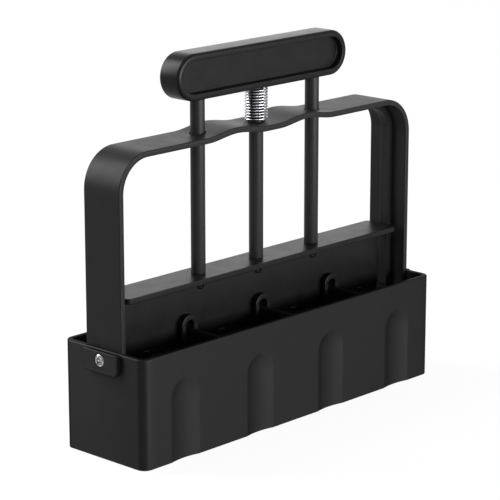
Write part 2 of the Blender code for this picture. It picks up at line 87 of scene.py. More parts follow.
class Cutting(Enum):
    """How one body changes another."""

    JOIN = "UNION"
    CUT = "DIFFERENCE"


class Plane(Enum):
    """The plane an outline is drawn in; the body then grows along the third axis."""

    XY = (0, 1, 2)
    XZ = (0, 2, 1)
    YZ = (1, 2, 0)


@dataclass(frozen=True)
class Outline:
    """A closed line as points with the unit direction that points out of the material."""

    points: Array
    out: Array

    def inset(self, amounts: Array) -> Array:
        """Offset copies of the line: each point moves back along its own direction.

        Args:
            amounts: How far each copy lies inside the line; a negative value lies outside.

        Returns:
            Array of (copies, points, 2).
        """
        return self.points[None] - np.asarray(amounts)[:, None, None] * self.out[None]

    def moved(self, x: float, y: float = 0.0) -> "Outline":
        """The same line at another place."""
        return Outline(self.points + np.array([x, y]), self.out)

    def mirrored(self) -> "Outline":
        """The line mirrored in its first coordinate, still running the same way round."""
        flip = np.array([-1.0, 1.0])
        return Outline((self.points * flip)[::-1], (self.out * flip)[::-1])


def rounded_outline(
    length: float,
    height: float,
    radii: float | Sequence[float],
    steps: int = CORNER_STEPS,
    along: Array | None = None,
) -> Outline:
    """A rectangle about the origin with round corners, run anticlockwise.

    A corner's points are its centre plus radius times (cos a, sin a) over a quarter turn. The
    two long sides also get a point at each place in along.

    Args:
        length: Size along the first axis.
        height: Size along the second axis.
        radii: The corner radius, or four from the corner where both coordinates are positive.
        steps: Facets in each corner.
        along: Rising places on the long sides that get points of their own.

    Returns:
        The outline.
    """
    points, out = [], []
    turn = np.linspace(0, math.pi / 2, steps + 1)
    corners = zip(((1, 1), (-1, 1), (-1, -1), (1, -1)), np.broadcast_to(radii, 4).tolist())
    for quarter, ((sx, sy), radius) in enumerate(corners):
        angle = turn + quarter * math.pi / 2
        way = np.stack([np.cos(angle), np.sin(angle)], axis=1)
        centre = np.array([sx * (length / 2 - radius), sy * (height / 2 - radius)])
        points.append(centre + radius * way)
        out.append(way)
        if along is not None and quarter in (0, 2):
            places = along[::-1] if quarter == 0 else along
            level = np.full_like(places, sy * height / 2)
            points.append(np.stack([places, level], axis=1))
            out.append(np.tile([0.0, float(sy)], (len(places), 1)))
    return Outline(np.concatenate(points), np.concatenate(out))


def circle(diameter: float, steps: int = ROUND_STEPS) -> Outline:
    """A circle about the origin: radius times (cos a, sin a).

    Args:
        diameter: Its diameter.
        steps: Its number of points.

    Returns:
        The outline.
    """
    angle = np.linspace(0, 2 * math.pi, steps, endpoint=False)
    way = np.stack([np.cos(angle), np.sin(angle)], axis=1)
    return Outline(way * diameter / 2, way)


def drawn_outline(points: Array) -> Outline:
    """A closed line through given points, run anticlockwise.

    Each point's direction is the sum of its two sides' outward normals, divided by one plus
    their dot product, so that an offset keeps every side parallel.

    Args:
        points: Array of (points, 2), without a repeated end.

    Returns:
        The outline.
    """
    edge = unit(np.roll(points, -1, axis=0) - points)
    normal = np.stack([edge[:, 1], -edge[:, 0]], axis=1)
    before = np.roll(normal, 1, axis=0)
    share = 1 + np.sum(normal * before, axis=1, keepdims=True)
    return Outline(points, (normal + before) / np.maximum(share, MITRE_LIMIT))


def arc(centre: tuple[float, float], radius: float, start: float, end: float, steps: int) -> Array:
    """Points on an arc: centre plus radius times (cos a, sin a), angles in degrees."""
    angle = np.radians(np.linspace(start, end, steps + 1))
    return np.array(centre) + radius * np.stack([np.cos(angle), np.sin(angle)], axis=1)


def unit(ways: Array) -> Array:
    """Directions scaled to a length of one."""
    return ways / np.linalg.norm(ways, axis=1, keepdims=True)


class Shell:
    """Patches of surface that are welded into one closed mesh."""

    def __init__(self) -> None:
        """Starts with no surface."""
        self.points: list[Array] = []
        self.faces: list[list[int]] = []
        self.count = 0

    def _keep(self, points: Array) -> Array:
        """Adds points and returns their numbers in the same shape.

        Args:
            points: Array whose last axis is X, Y, Z.

        Returns:
            Array of point numbers without that last axis.
        """
        flat = points.reshape(-1, 3)
        numbers = self.count + np.arange(len(flat)).reshape(points.shape[:-1])
        self.points.append(flat)
        self.count += len(flat)
        return numbers

    def grid(self, points: Array) -> None:
        """Adds a sleeve of four-sided faces; each row is a closed loop.

        Args:
            points: Array of (rows, points in a loop, 3).
        """
        here = self._keep(points)
        beside = np.roll(here, -1, axis=1)
        quads = np.stack([here[:-1], beside[:-1], beside[1:], here[1:]], axis=-1)
        self.faces.extend(quads.reshape(-1, 4).tolist())

    def cap(self, loop: Array) -> None:
        """Closes one loop with a single flat face."""
        self.faces.append(self._keep(loop).tolist())

    def flat(self, loops: Sequence[Array]) -> None:
        """Fills the flat region inside the first loop and outside the others with triangles.

        Args:
            loops: Arrays of (points, 3) in one plane.
        """
        numbers = np.concatenate([self._keep(loop) for loop in loops])
        lines = [[Vector(point) for point in (loop / MM).tolist()] for loop in loops]
        triangles = np.array(tessellate_polygon(lines))
        self.faces.extend(numbers[triangles].tolist())

    def piece(self, name: str) -> Thing:
        """Welds the seams, turns the faces outward and makes the object.

        Args:
            name: The piece's name.

        Returns:
            A mesh object at the origin.
        """
        mesh = bpy.data.meshes.new(name)
        mesh.from_pydata(np.concatenate(self.points).tolist(), [], self.faces)
        shape = bmesh.new()
        shape.from_mesh(mesh)
        bmesh.ops.remove_doubles(shape, verts=shape.verts, dist=WELD)
        bmesh.ops.dissolve_degenerate(shape, edges=shape.edges, dist=WELD / 2)
        bmesh.ops.recalc_face_normals(shape, faces=shape.faces)
        shape.to_mesh(mesh)
        shape.free()
        smooth(mesh)
        made = bpy.data.objects.new(name, mesh)
        bpy.context.scene.collection.objects.link(made)
        return made


def smooth(mesh: bpy.types.Mesh) -> None:
    """Shades a mesh smooth, with real edges kept sharp."""
    mesh.shade_smooth()
    mesh.set_sharp_from_angle(angle=math.radians(SHARP_ANGLE))


def combine(piece: Thing, tools: Iterable[Thing], how: Cutting) -> Thing:
    """Joins closed bodies to a piece or cuts them out, and removes them afterwards.

    Args:
        piece: The body that is kept.
        tools: The bodies that change it.
        how: Whether they are joined or cut.

    Returns:
        The piece, with its new mesh.
    """
    used = list(tools)
    for tool in used:
        step = piece.modifiers.new(tool.name, "BOOLEAN")
        step.operation = how.value
        step.solver = "EXACT"
        step.object = tool
    evaluated = piece.evaluated_get(bpy.context.evaluated_depsgraph_get())
    mesh = bpy.data.meshes.new_from_object(evaluated)
    piece.modifiers.clear()
    piece.data = mesh
    smooth(mesh)
    for tool in used:
        bpy.data.objects.remove(tool, do_unlink=True)
    return piece


@dataclass(frozen=True)
class Edges:
    """Radii of a body's lower and upper edges, and the width of flat kept beside each."""

    lower: float = 0.00040
    upper: float = 0.00040
    hold: float = 0.00020

    def profile(self, bottom: float, top: float, levels: Sequence[float] = ()) -> Array:
        """The section of a wall from its flat underside to its flat top.

        The lower edge is radius times (1 - sin a, 1 - cos a), the upper one its mirror image.

        Args:
            bottom: Height of the underside.
            top: Height of the top.
            levels: Heights between the edges that get a row of their own.

        Returns:
            Array of (rows, 2): how far inside the outline, and the height.
        """
        turn = np.linspace(0, math.pi / 2, EDGE_STEPS + 1)
        low = np.stack([1 - np.sin(turn), 1 - np.cos(turn)], axis=1) * self.lower
        high = np.stack([1 - np.cos(turn), np.sin(turn) - 1], axis=1) * self.upper
        first = [[self.lower + self.hold, bottom]]
        wall = [[0, bottom + self.lower + self.hold]]
        wall += [[0, level] for level in levels] + [[0, top - self.upper - self.hold]]
        last = [[self.upper + self.hold, top]]
        return np.concatenate([first, low + [0, bottom], wall, high + [0, top], last])


SHARP = Edges(0.00005, 0.00005, 0.00005)


def in_plane(flat: Array, height: Array, plane: Plane) -> Array:
    """Puts outline points and heights into space.

    Args:
        flat: Array of (rows, points, 2).
        height: Array of (rows,).
        plane: The plane the outline lies in.

    Returns:
        Array of (rows, points, 3).
    """
    space = np.empty((*flat.shape[:2], 3))
    first, second, third = plane.value
    space[..., first] = flat[..., 0]
    space[..., second] = flat[..., 1]
    space[..., third] = height[:, None]
    return space


def moulded(
    name: str,
    outline: Outline,
    span: tuple[float, float],
    edges: Edges,
    plane: Plane = Plane.XY,
    holes: Sequence[Outline] = (),
    levels: Sequence[float] = (),
    sink: Callable[[Array], Array] | None = None,
) -> Thing:
    """A body with one outline, rounded edges and, if any, straight holes.

    The skin is the outline offset inwards by the profile's first column at the height in its
    second. A hole's wall is its outline offset the other way by the same profile.

    Args:
        name: The body's name.
        outline: Its outer line.
        span: Where it starts and ends along the third axis.
        edges: Radii of its edges.
        plane: The plane the outline lies in.
        holes: Lines of the holes.
        levels: Places along the third axis that get rows of their own.
        sink: Moves points of the outer skin, for flutes.

    Returns:
        The closed body.
    """
    shell = Shell()
    profile = edges.profile(span[0], span[1], levels)
    skin = in_plane(outline.inset(profile[:, 0]), profile[:, 1], plane)
    if sink is not None:
        skin = sink(skin)
    walls = [in_plane(hole.inset(-profile[:, 0]), profile[:, 1], plane) for hole in holes]
    for wall in (skin, *walls):
        shell.grid(wall)
    for end in (0, -1):
        shell.flat([wall[end] for wall in (skin, *walls)])
    return shell.piece(name)


def swept(name: str, rows: Array) -> Thing:
    """A body from closed loops in order, with a flat face on its first and last loop.

    Args:
        name: The body's name.
        rows: Array of (rows, points in a loop, 3).

    Returns:
        The closed body.
    """
    shell = Shell()
    shell.grid(rows)
    shell.cap(rows[0])
    shell.cap(rows[-1])
    return shell.piece(name)


def turned(name: str, profile: Array, steps: int = ROUND_STEPS, x: float = 0.0) -> Thing:
    """A body of revolution about an upright line: (r cos a, r sin a, z).

    Args:
        name: The body's name.
        profile: Array of (rows, 2), radius and height, from pole to pole.
        steps: Facets around.
        x: Where the line stands.

    Returns:
        The closed body.
    """
    angle = np.linspace(0, 2 * math.pi, steps, endpoint=False)
    radius, height = profile[:, :1], profile[:, 1:]
    level = np.broadcast_to(height, (len(profile), steps))
    shell = Shell()
    shell.grid(np.stack([x + radius * np.cos(angle), radius * np.sin(angle), level], axis=-1))
    return shell.piece(name)


def softened(corners: Sequence[tuple[float, float, float]], steps: int = 4) -> Array:
    """A turned piece's profile with a small round at each corner.

    Each corner is cut back by its own radius along both sides, and the cut is filled with the
    curve (1 - t)^2 a + 2 t (1 - t) corner + t^2 b.

    Args:
        corners: Radius, height and corner radius of each point; a corner radius of 0 keeps it.
        steps: Facets in each round.

    Returns:
        Array of (rows, 2).
    """
    table = np.array(corners, float)
    place, cut = table[:, :2], table[:, 2]
    rows = [place[:1]]
    t = np.linspace(0, 1, steps + 1)[:, None]
    for before, here, after, size in zip(place, place[1:], place[2:], cut[1:]):
        if size == 0:
            rows.append(here[None])
            continue
        back, ahead = before - here, after - here
        a = here + back / np.linalg.norm(back) * size
        b = here + ahead / np.linalg.norm(ahead) * size
        rows.append((1 - t) ** 2 * a + 2 * t * (1 - t) * here + t**2 * b)
    return np.concatenate([*rows, place[-1:]])


def post(name: str, diameter: float, bottom: float, top: float, x: float) -> Thing:
    """A plain upright round body between two heights, for joining or cutting.

    Args:
        name: The body's name.
        diameter: Its diameter.
        bottom: Height of its foot.
        top: Height of its top.
        x: Where it stands.

    Returns:
        The closed body.
    """
    radius = diameter / 2
    profile = np.array([[0, bottom], [radius, bottom], [radius, top], [0, top]])
    return turned(name, profile, BORE_STEPS, x)


def crosswise(name: str, diameter: float, x: float, z: float) -> Thing:
    """A plain round body along Y, for cutting a cross hole."""
    line = circle(diameter, PIN_STEPS).moved(x, z)
    return moulded(name, line, (-CROSS_BORE / 2, CROSS_BORE / 2), SHARP, Plane.XZ)


def endwise(
    name: str, side: Side, line: Outline, span: tuple[float, float], edges: Edges = SHARP
) -> Thing:
    """A body that runs outwards along X at one end of the blocker.

    Args:
        name: The body's name, without its side.
        side: The end it belongs to.
        line: Its outline in Y and Z.
        span: How far from the blocker's middle it starts and ends.
        edges: Radii of its edges.

    Returns:
        The closed body.
    """
    low, high = sorted(side.value * end for end in span)
    return moulded(f"{name}_{side.name}", line, (low, high), edges, Plane.YZ)


# Finishes


def linear(code: str) -> tuple[float, float, float, float]:
    """Turns an sRGB hex colour into the linear colour that a shader takes.

    Args:
        code: The colour, as #rrggbb.

    Returns:
        Red, green, blue and alpha.
    """
    values = [int(code[place:place + 2], 16) / 255 for place in (1, 3, 5)]
    made = [v / 12.92 if v <= 0.04045 else ((v + 0.055) / 1.055) ** 2.4 for v in values]
    return (*made, 1.0)


def add_node(
    tree: bpy.types.NodeTree,
    kind: str,
    inputs: dict[str | int, object] | None = None,
    **settings: object,
) -> bpy.types.Node:
    """Adds a node with its settings, values and links.

    Args:
        tree: The node tree.
        kind: The node's type name.
        inputs: Input name or number, with a value or another node's output.
        **settings: Properties of the node itself.

    Returns:
        The node.
    """
    node = tree.nodes.new(kind)
    for key, value in settings.items():
        setattr(node, key, value)
    for key, value in (inputs or {}).items():
        if isinstance(value, Socket):
            tree.links.new(value, node.inputs[key])
        else:
            node.inputs[key].default_value = value
    return node


def per_mm(size: float) -> float:
    """A noise scale, in features per metre, for features of this size in millimetres."""
    return 1 / (size * MM)


@dataclass(frozen=True)
class Noise:
    """One scale of unevenness, and the strength of its relief, with sizes in millimetres."""

    size: float
    octaves: float
    roughness: float = 0.5
    stretch: Triple = (1.0, 1.0, 1.0)
    strength: float = 0.0
    depth: float = 0.0


@dataclass(frozen=True)
class Finish:
    """What all finishes share: two colours, uneven gloss and noises in Object coordinates."""

    name: str
    colour: str
    patches: str
    gloss: tuple[float, float]

    def start(self, *noises: Noise) -> tuple[bpy.types.Material, list[Socket]]:
        """Makes the material with its noises, and links their relief to the shader.

        Args:
            *noises: The scales of unevenness, the coarsest relief first.

        Returns:
            The material and each noise's output.
        """
        made = bpy.data.materials.new(self.name)
        made.use_nodes = True
        tree = made.node_tree
        place = add_node(tree, "ShaderNodeTexCoord").outputs["Object"]
        outputs, relief = [], {}
        for noise in noises:
            along = add_node(tree, "ShaderNodeMapping", {"Vector": place, "Scale": noise.stretch})
            values = {
                "Vector": along.outputs["Vector"], "Scale": per_mm(noise.size),
                "Detail": noise.octaves, "Roughness": noise.roughness,
            }
            outputs.append(add_node(tree, "ShaderNodeTexNoise", values).outputs["Fac"])
            if noise.strength > 0:
                relief |= {"Height": outputs[-1], "Strength": noise.strength}
                relief["Distance"] = noise.depth * MM
                bump = add_node(tree, "ShaderNodeBump", relief)
                relief["Normal"] = bump.outputs["Normal"]
        tree.links.new(relief["Normal"], tree.nodes["Principled BSDF"].inputs["Normal"])
        return made, outputs

    def lay(
        self, made: bpy.types.Material, tints: Sequence[tuple[Socket, str]], polish: Socket
    ) -> bpy.types.Node:
        """Builds colour and gloss and links them to the shader.

        Args:
            made: The material.
            tints: Colours laid over the first one, each with its share from 0 to 1.
            polish: The noise that takes the gloss from its lower to its upper roughness.

        Returns:
            The shader.
        """
        tree = made.node_tree
        tone = linear(self.colour)
        for share, over in tints:
            values = {0: share, 6: tone, 7: linear(over)}
            tone = add_node(tree, "ShaderNodeMix", values, data_type="RGBA").outputs[2]
        gloss = add_node(
            tree, "ShaderNodeMapRange",
            {
                "Value": polish, "From Min": NOISE_SPAN[0], "From Max": NOISE_SPAN[1],
                "To Min": self.gloss[0], "To Max": self.gloss[1],
            },
        )
        shader = tree.nodes["Principled BSDF"]
        tree.links.new(tone, shader.inputs["Base Color"])
        tree.links.new(gloss.outputs["Result"], shader.inputs["Roughness"])
        return shader


@dataclass(frozen=True)
class MouldedAbs(Finish):
    """Black ABS, injection moulded in a tool with a fine satin texture.

    The eye sees a near-black body with a soft, blurred gloss: slightly uneven where the melt
    cooled, and a shade paler and duller where edges have been handled. Where the tool was
    polished along the walls, the gloss spreads up and down by the given share.
    """

    rubbed: str = "#1e1e20"
    rubbed_curve: tuple[float, float] = (0.53, 0.62)
    rubbed_share: float = 0.55
    texture_mm: float = 0.45
    cloud_mm: float = 9.0
    sink_mm: float = 26.0
    ior: float = 1.185
    spread: float = 0.0
    spread_turn: float = 0.25
    slant: float = 1.0
    slant_view: tuple[float, float] = (0.37, 0.52)

    def make(self) -> bpy.types.Material:
        """Builds the material: clouds, rubbed edges, and the texture over shallow sink marks.

        Returns:
            The material.
        """
        # The tool's texture is about 0.05 mm; drawn nine or ten times as coarse, it shows.
        made, (cloud, *_) = self.start(
            Noise(self.cloud_mm, 4.0, 0.6),
            Noise(self.sink_mm, 1.0, 0.4, strength=0.5, depth=0.12),
            Noise(self.texture_mm, 2.0, strength=0.35, depth=0.020),
        )
        tree = made.node_tree
        edge = add_node(
            tree, "ShaderNodeMapRange",
            {
                "Value": add_node(tree, "ShaderNodeNewGeometry").outputs["Pointiness"],
                "From Min": self.rubbed_curve[0], "From Max": self.rubbed_curve[1],
                "To Max": self.rubbed_share,
            },
        )
        worn = add_node(
            tree, "ShaderNodeMath", {0: edge.outputs["Result"], 1: cloud}, operation="MULTIPLY"
        )
        tints = [(cloud, self.patches), (worn.outputs[0], self.rubbed)]
        shader = self.lay(made, tints, cloud)
        if self.slant < 1:
            # Seen at a slant, the texture's own relief hides part of the gloss.
            level = shader.inputs["Specular IOR Level"]
            view = add_node(tree, "ShaderNodeLayerWeight", {"Blend": 0.5})
            hidden = add_node(
                tree, "ShaderNodeMapRange",
                {
                    "Value": view.outputs["Facing"],
                    "From Min": self.slant_view[0], "From Max": self.slant_view[1],
                    "To Min": level.default_value, "To Max": level.default_value * self.slant,
                },
            )
            tree.links.new(hidden.outputs["Result"], level)
        # The tool's texture breaks up the gloss, so it is weaker than solid ABS would give.
        shader.inputs["IOR"].default_value = self.ior
        shader.inputs["Anisotropic"].default_value = self.spread
        shader.inputs["Anisotropic Rotation"].default_value = self.spread_turn
        return made


@dataclass(frozen=True)
class CoatedSteel(Finish):
    """Drawn steel bar with a thin black powder coat.

    The eye sees a black bar, glossier than the mouldings, with faint lengthwise draw lines
    under the coat and the coat's own fine orange peel.
    """

    line_mm: float = 0.5
    peel_mm: float = 0.7
    ior: float = 1.168

    def make(self) -> bpy.types.Material:
        """Builds the material: draw lines stretched along Z and orange peel over them.

        Returns:
            The material.
        """
        # Draw lines keep their width across the bar and run forty times as long.
        made, (lines, _) = self.start(
            Noise(self.line_mm, 3.0, stretch=(1.0, 1.0, 0.025), strength=0.25, depth=0.01),
            Noise(self.peel_mm, 1.0, strength=0.30, depth=0.02),
        )
        shader = self.lay(made, [(lines, self.patches)], lines)
        shader.inputs["IOR"].default_value = self.ior
        return made


@dataclass(frozen=True)
class BrightSteel(Finish):
    """Bare or plated steel with fine tool marks.

    The eye sees a clear metal gloss, broken by marks that are stretched along one axis and by
    small dull specks.
    """

    mark_mm: float = 0.3
    stretch: Triple = (1.0, 1.0, 1.0)
    speck_mm: float = 1.6
    speck_span: tuple[float, float] = (0.45, 0.75)

    def make(self) -> bpy.types.Material:
        """Builds the material: marks change the gloss and stand in the bump, specks the colour.

        Returns:
            The material.
        """
        made, (marks, specks) = self.start(
            Noise(self.mark_mm, 3.0, stretch=self.stretch, strength=0.25, depth=0.01),
            Noise(self.speck_mm, 4.0, 0.7),
        )
        low, high = self.speck_span
        dull = add_node(
            made.node_tree, "ShaderNodeMapRange",
            {"Value": specks, "From Min": low, "From Max": high},
        )
        shader = self.lay(made, [(dull.outputs["Result"], self.patches)], marks)
        shader.inputs["Metallic"].default_value = 1.0
        return made


BOX_FINISH = MouldedAbs(
    "ABS, moulded satin, cell box", "#0c0c0d", "#101011", (0.42, 0.46),
    ior=1.165, spread=0.72, slant=0.1,
)
FRAME_FINISH = MouldedAbs(
    "ABS, moulded satin, strap frame", "#101011", "#141415", (0.41, 0.47), ior=1.175
)
# Painted shade: the press bar is the box's ABS, given a darker base colour so that its web reads
# as shaded inside the cells.
SHADE_DARKENED_BAR_FINISH = MouldedAbs("ABS, moulded satin, press bar", "#050506", "#080809", (0.34, 0.40))
FOOT_FINISH = MouldedAbs("ABS, moulded matt, feet", "#050506", "#080809", (0.42, 0.50))
GRIP_FINISH = MouldedAbs(
    "ABS, moulded satin, grip", "#09090a", "#0d0d0e", (0.28, 0.34), texture_mm=0.5, ior=1.172
)
ROD_FINISH = CoatedSteel("powder-coated drawn steel, black", "#151516", "#1e1e1f", (0.34, 0.44))
SCREW_FINISH = BrightSteel(
    "steel, zinc plated, screws", "#909092", "#5c5c5e", (0.18, 0.30), 0.5, (0.05, 1.0, 1.0)
)
PIN_FINISH = BrightSteel("steel, blackened, pins", "#1c1c1e", "#121213", (0.40, 0.55))
WIRE_FINISH = BrightSteel("spring steel wire, drawn, bright", "#a2a2a6", "#7a7a7e", (0.14, 0.26))


# The blocker's pieces


@dataclass(frozen=True)
class Layout:
    """Sizes that several sub-assemblies share, in metres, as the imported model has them."""

    cell_count: int = 4
    cell: float = 0.0500
    wall: float = 0.0028
    box_height: float = 0.0552
    frame_top: float = 0.1505
    strap_thickness: float = 0.0029
    strap_width: float = 0.0244
    leg_outside: float = 0.1061
    leg_foot: float = 0.0464
    grip_bottom: float = 0.1680
    plate_top: float = 0.0802
    rod_spacing: float = 0.0417
    rod_diameter: float = 0.0073
    tenon: float = 0.0042
    pin: float = 0.0012
    pin_height: float = 0.0745
    socket_boss: float = 0.0060
    socket_floor: float = 0.0729
    foot_top: float = 0.0460
    foot_thickness: float = 0.0028
    stud: float = 0.0030
    screw: float = 0.0034
    screw_length: float = 0.0070
    screw_height: float = 0.0502
    screw_seat: float = 0.1086
    screw_head: float = 0.0062
    screw_sink: float = 0.0011
    pin_length: float = 0.0050
    stud_length: float = 0.0056
    fit: float = 0.0003

    @property
    def box_length(self) -> float:
        """Length of the box over its end walls."""
        return self.cell_count * self.cell + (self.cell_count + 1) * self.wall

    @property
    def box_depth(self) -> float:
        """Depth of the box over its long walls."""
        return self.cell + 2 * self.wall

    @property
    def cells(self) -> Array:
        """X of the middle of each cell."""
        steps = np.arange(self.cell_count) - (self.cell_count - 1) / 2
        return steps * (self.cell + self.wall)

    @property
    def partitions(self) -> Array:
        """X of the middle of each partition."""
        return (self.cells[1:] + self.cells[:-1]) / 2

    @property
    def rods(self) -> tuple[tuple[str, float], ...]:
        """Word and X of each rod."""
        return (("left", -self.rod_spacing), ("middle", 0.0), ("right", self.rod_spacing))


@cache
def material(finish: Finish) -> bpy.types.Material:
    """The material of a finish, made once."""
    return finish.make()


def dress(piece: Thing, body: str, node: str, finish: Finish) -> Thing:
    """Gives a piece its finish, hides the node it stands for and hangs it on the body it rides on.

    Args:
        piece: The finished piece.
        body: The body it moves with.
        node: The node it stands for.
        finish: Its finish.

    Returns:
        The piece.
    """
    piece.data.materials.clear()
    piece.data.materials.append(material(finish))
    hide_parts(node)
    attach(piece, body)
    size = [round(value / MM, 1) for value in piece.dimensions]
    LOG.info("%s: %s mm, %d faces", piece.name, size, len(piece.data.polygons))
    return piece


@dataclass(frozen=True)
class MouldBox:
    """Four cells open above and below, fluted outside, with a tab and a pocket at each end."""

    layout: Layout
    corner: float = 0.0048
    cell_corner: float = 0.0020
    corner_steps: int = 10
    cell_corner_steps: int = 6
    pocket_corner_steps: int = 2
    upper_edge: float = 0.00075
    lower_edge: float = 0.00030
    hold: float = 0.00015
    flute_width: float = 0.0188
    flute_depth: float = 0.0012
    flute_top: float = 0.0412
    flute_blend: float = 0.00004
    tab_width: float = 0.0241
    tab_height: float = 0.0109
    tab_drop: float = 0.0004
    tab_proud: float = 0.0024
    tab_corner: float = 0.0030
    tab_edge: float = 0.00045
    tab_square: float = 0.00075
    pocket_skin: float = 0.0006
    pocket_depth: float = 0.0091
    pocket_corner: float = 0.0002
    overrun: float = 0.0020

    def flute_sink(self, skin: Array) -> Array:
        """Hollows the long walls over each cell.

        A flute is a cylinder whose top is a ball: its depth is sqrt(R^2 - x^2 - n^2) - R + d,
        where x runs across the cell, n is the height above the nose's middle (0 below it), d
        the depth and R the radius that gives the width. The larger of that and zero is taken
        with a soft crest, (s + sqrt(s^2 + k^2)) / 2.

        Args:
            skin: The box's outer skin, (rows, points, 3).

        Returns:
            The skin with its flutes.
        """
        half = self.flute_width / 2
        radius = (half**2 + self.flute_depth**2) / (2 * self.flute_depth)
        across = np.min(np.abs(skin[..., 0, None] - self.layout.cells), axis=-1)
        nose = np.maximum(skin[..., 2] - (self.flute_top - half), 0)
        under = np.maximum(radius**2 - across**2 - nose**2, 0)
        raw = np.sqrt(under) - radius + self.flute_depth
        depth = (raw + np.sqrt(raw**2 + self.flute_blend**2)) / 2
        sunk = skin.copy()
        sunk[..., 1] -= np.sign(skin[..., 1]) * depth
        return sunk

    def columns(self) -> Array:
        """Places along the long walls that get points: close over the flutes, wide between.

        Returns:
            Array of X.
        """
        # In half widths of a flute, and in shares of a cell.
        near = np.linspace(-1.12, 1.12, 35) * self.flute_width / 2
        far = np.array([-0.48, -0.36, 0.36, 0.48]) * self.layout.cell
        places = (self.layout.cells[:, None] + np.concatenate([near, far])).ravel()
        reach = self.layout.box_length / 2 - self.corner - MM
        places = np.unique(np.round(places, 7))
        return places[np.abs(places) < reach]

    def levels(self) -> Array:
        """Heights that get rows: wide below the flutes' noses, close over them.

        Returns:
            Array of Z.
        """
        half = self.flute_width / 2
        below = np.linspace(0.12, 1.0, 7) * (self.flute_top - half)
        nose = np.linspace(0.06, 1.10, 19) * half + self.flute_top - half
        above = np.array([0.25, 0.6]) * (self.layout.box_height - nose[-1]) + nose[-1]
        return np.concatenate([below, nose, above])

    def tab(self, side: Side) -> Thing:
        """The raised tab on one end wall, square above and round below.

        Args:
            side: The end it belongs to.

        Returns:
            The closed body.
        """
        layout = self.layout
        radii = (self.tab_square, self.tab_square, self.tab_corner, self.tab_corner)
        middle = layout.box_height - self.tab_drop - self.tab_height / 2
        line = rounded_outline(self.tab_width, self.tab_height, radii).moved(0, middle)
        inner = layout.box_length / 2 - self.pocket_skin / 2
        outer = layout.box_length / 2 + self.tab_proud
        edges = Edges(self.tab_edge, self.tab_edge, self.hold)
        return endwise("tab", side, line, (inner, outer), edges)

    def pocket(self, side: Side) -> Thing:
        """The slot inside an end wall where the strap's foot stands.

        Args:
            side: The end it belongs to.

        Returns:
            The closed body.
        """
        layout = self.layout
        width = layout.strap_width + 2 * layout.fit
        tall = self.pocket_depth + self.overrun
        line = rounded_outline(width, tall, self.pocket_corner, self.pocket_corner_steps)
        line = line.moved(0, layout.box_height - self.pocket_depth + tall / 2)
        inner = layout.box_length / 2 - layout.wall - self.overrun
        outer = layout.box_length / 2 - self.pocket_skin
        return endwise("pocket", side, line, (inner, outer))

    def build(self) -> Thing:
        """The whole box.

        Returns:
            The closed body.
        """
        layout = self.layout
        line = rounded_outline(
            layout.box_length, layout.box_depth, self.corner, self.corner_steps, self.columns()
        )
        square = rounded_outline(
            layout.cell, layout.cell, self.cell_corner, self.cell_corner_steps
        )
        cells = [square.moved(x) for x in layout.cells.tolist()]
        edges = Edges(self.lower_edge, self.upper_edge, self.hold)
        box = moulded(
            "cell_box", line, (0.0, layout.box_height), edges,
            holes=cells, levels=self.levels().tolist(), sink=self.flute_sink,
        )
        combine(box, [self.tab(side) for side in Side], Cutting.JOIN)
        tools = [self.pocket(side) for side in Side]
        tools += [screw_bore(layout, side) for side in Side]
        tools += [screw_recess(layout, side) for side in Side]
        return combine(box, tools, Cutting.CUT)

    def dress(self) -> None:
        """Builds and dresses the box."""
        dress(self.build(), "root", "mould_box", BOX_FINISH)


def screw_bore(layout: Layout, side: Side) -> Thing:
    """The hole along X that takes a strap screw.

    Args:
        layout: The shared sizes.
        side: The end it belongs to.

    Returns:
        The closed body.
    """
    line = circle(layout.screw + 2 * layout.fit, PIN_STEPS).moved(0, layout.screw_height)
    tip = layout.screw_seat - layout.screw_length - layout.fit
    return endwise("screw_bore", side, line, (tip, layout.screw_seat + MM))


def screw_recess(layout: Layout, side: Side) -> Thing:
    """The round recess in a tab in which a strap screw's head sits.

    Args:
        layout: The shared sizes.
        side: The end it belongs to.

    Returns:
        The closed body.
    """
    line = circle(layout.screw_head + 2 * layout.fit, ROD_STEPS).moved(0, layout.screw_height)
    bed = layout.screw_seat - layout.fit
    return endwise("screw_recess", side, line, (bed, bed + layout.screw_sink + MM))


